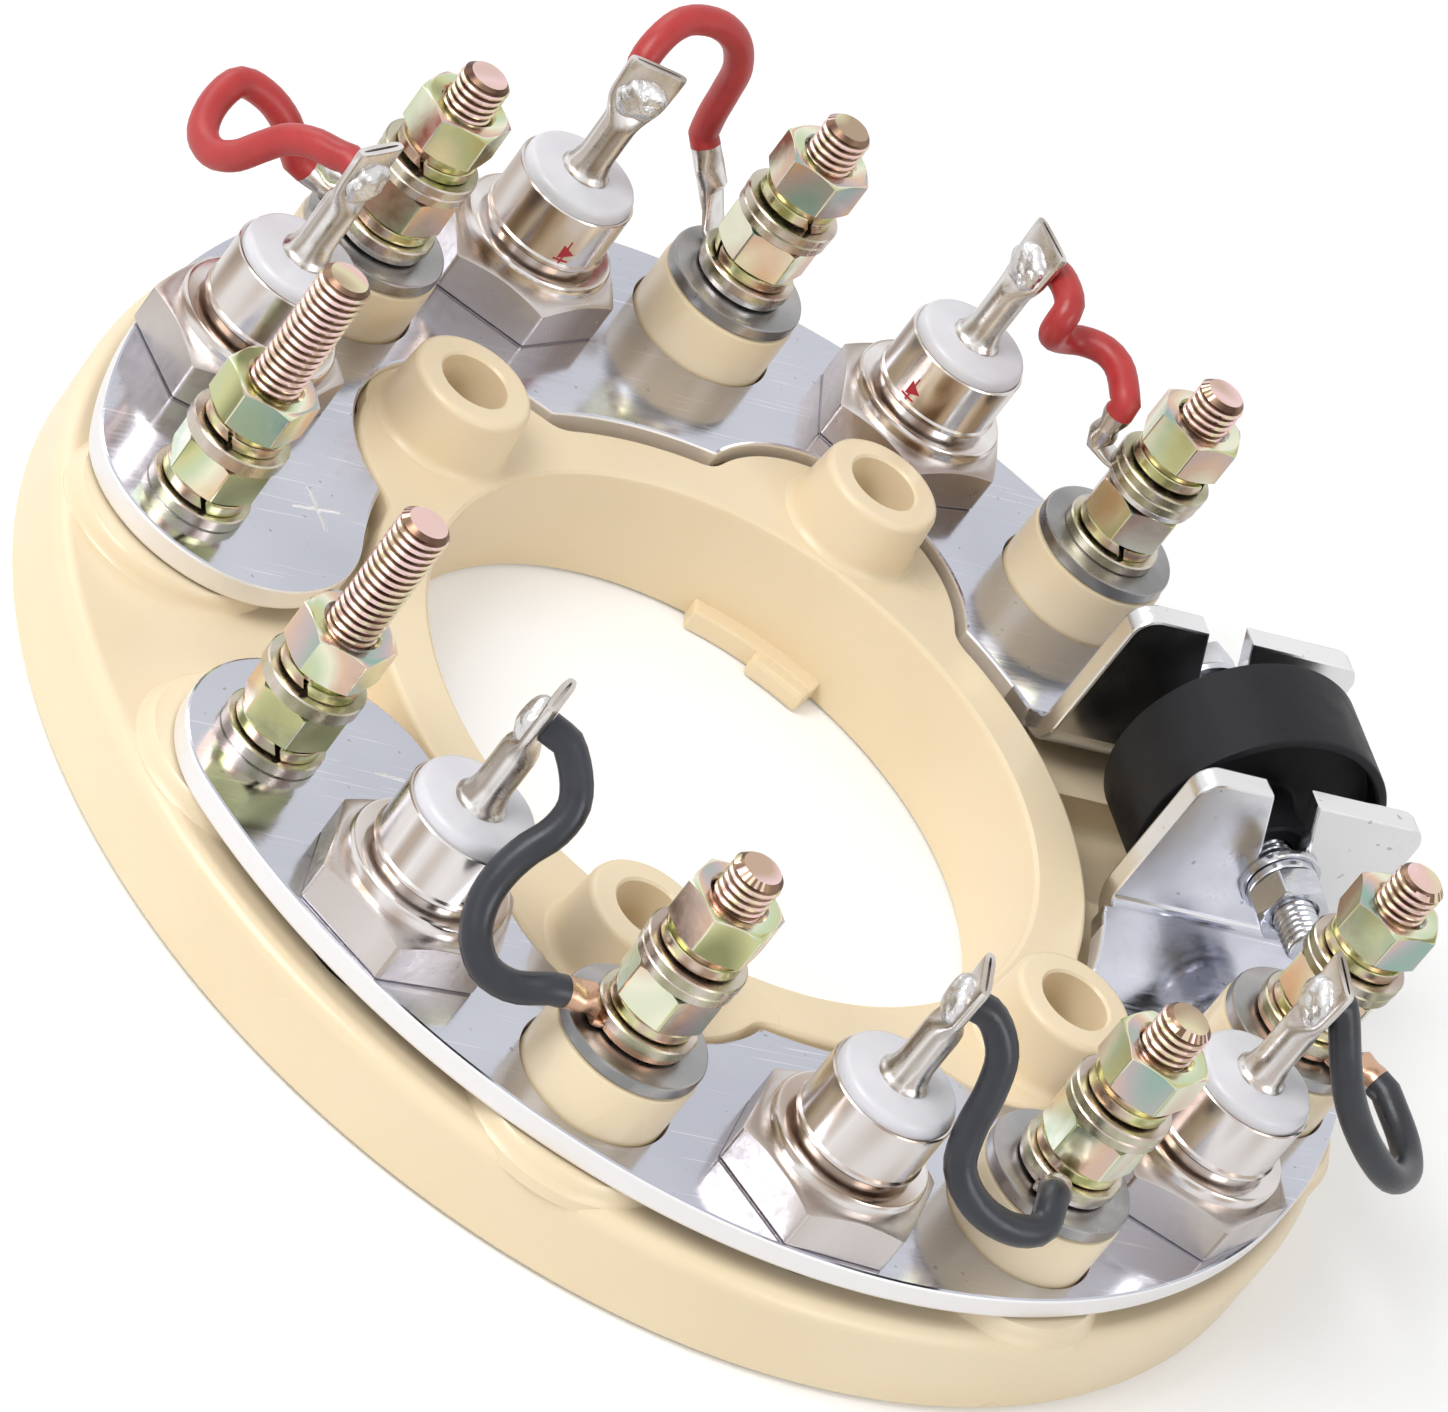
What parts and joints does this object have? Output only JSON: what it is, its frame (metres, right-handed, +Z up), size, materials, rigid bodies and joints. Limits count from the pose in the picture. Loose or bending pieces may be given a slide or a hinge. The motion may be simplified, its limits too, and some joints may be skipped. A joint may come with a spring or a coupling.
{
  "type": "rotating three-phase bridge rectifier module",
  "caption": "Cream moulded ring with crescent heat-sink plates, stud diodes, terminal studs with nuts, short red and black leads and a surge varistor between upright flaps.",
  "frame": {"origin": "centre of the ring on its flat underside", "axes": "+Z up along the terminal studs, +X towards the varistor, +Y towards the plate with the red leads"},
  "size_m": [0.166, 0.166, 0.055],
  "materials": {
    "cream_moulding": "glass-filled moulding, satin",
    "plate_aluminium": "bright rolled sheet",
    "diode_nickel": "warm nickel plating",
    "white_ceramic": "matt",
    "tinned_terminal": "tinned",
    "red_insulation": "satin",
    "black_insulation": "satin",
    "tinned_lug": "tinned",
    "yellow_zinc": "yellow passivated zinc",
    "black_epoxy": "matt epoxy coating",
    "white_zinc": "bright zinc"
  },
  "bodies": {
    "root": {"base_ring": "cream_moulding", "positive_plate": "plate_aluminium", "negative_plate": "plate_aluminium", "diode_1_body": "diode_nickel", "diode_2_body": "diode_nickel", "diode_3_body": "diode_nickel", "diode_4_body": "diode_nickel", "diode_5_body": "diode_nickel", "diode_6_body": "diode_nickel", "diode_1_insulator": "white_ceramic", "diode_2_insulator": "white_ceramic", "diode_3_insulator": "white_ceramic", "diode_4_insulator": "white_ceramic", "diode_5_insulator": "white_ceramic", "diode_6_insulator": "white_ceramic", "diode_1_terminal": "tinned_terminal", "diode_2_terminal": "tinned_terminal", "diode_3_terminal": "tinned_terminal", "diode_4_terminal": "tinned_terminal", "diode_5_terminal": "tinned_terminal", "diode_6_terminal": "tinned_terminal", "lead_1": "red_insulation", "lead_2": "red_insulation", "lead_3": "red_insulation", "lead_4": "black_insulation", "lead_5": "black_insulation", "lead_6": "black_insulation", "lead_1_lug": "tinned_lug", "lead_2_lug": "tinned_lug", "lead_3_lug": "tinned_lug", "lead_4_lug": "tinned_lug", "lead_5_lug": "tinned_lug", "lead_6_lug": "tinned_lug", "ac_stud_1": "yellow_zinc", "ac_stud_2": "yellow_zinc", "ac_stud_3": "yellow_zinc", "ac_stud_4": "yellow_zinc", "ac_stud_5": "yellow_zinc", "ac_stud_6": "yellow_zinc", "dc_stud_positive": "yellow_zinc", "dc_stud_negative": "yellow_zinc", "ac_lower_nut_1": "yellow_zinc", "ac_lower_nut_2": "yellow_zinc", "ac_lower_nut_3": "yellow_zinc", "ac_lower_nut_4": "yellow_zinc", "ac_lower_nut_5": "yellow_zinc", "ac_lower_nut_6": "yellow_zinc", "ac_upper_nut_1": "yellow_zinc", "ac_upper_nut_2": "yellow_zinc", "ac_upper_nut_3": "yellow_zinc", "ac_upper_nut_4": "yellow_zinc", "ac_upper_nut_5": "yellow_zinc", "ac_upper_nut_6": "yellow_zinc", "dc_lower_nut_positive": "yellow_zinc", "dc_lower_nut_negative": "yellow_zinc", "dc_upper_nut_positive": "yellow_zinc", "dc_upper_nut_negative": "yellow_zinc", "varistor": "black_epoxy", "varistor_bolt": "white_zinc", "varistor_nut": "white_zinc"}
  },
  "joints": []
}
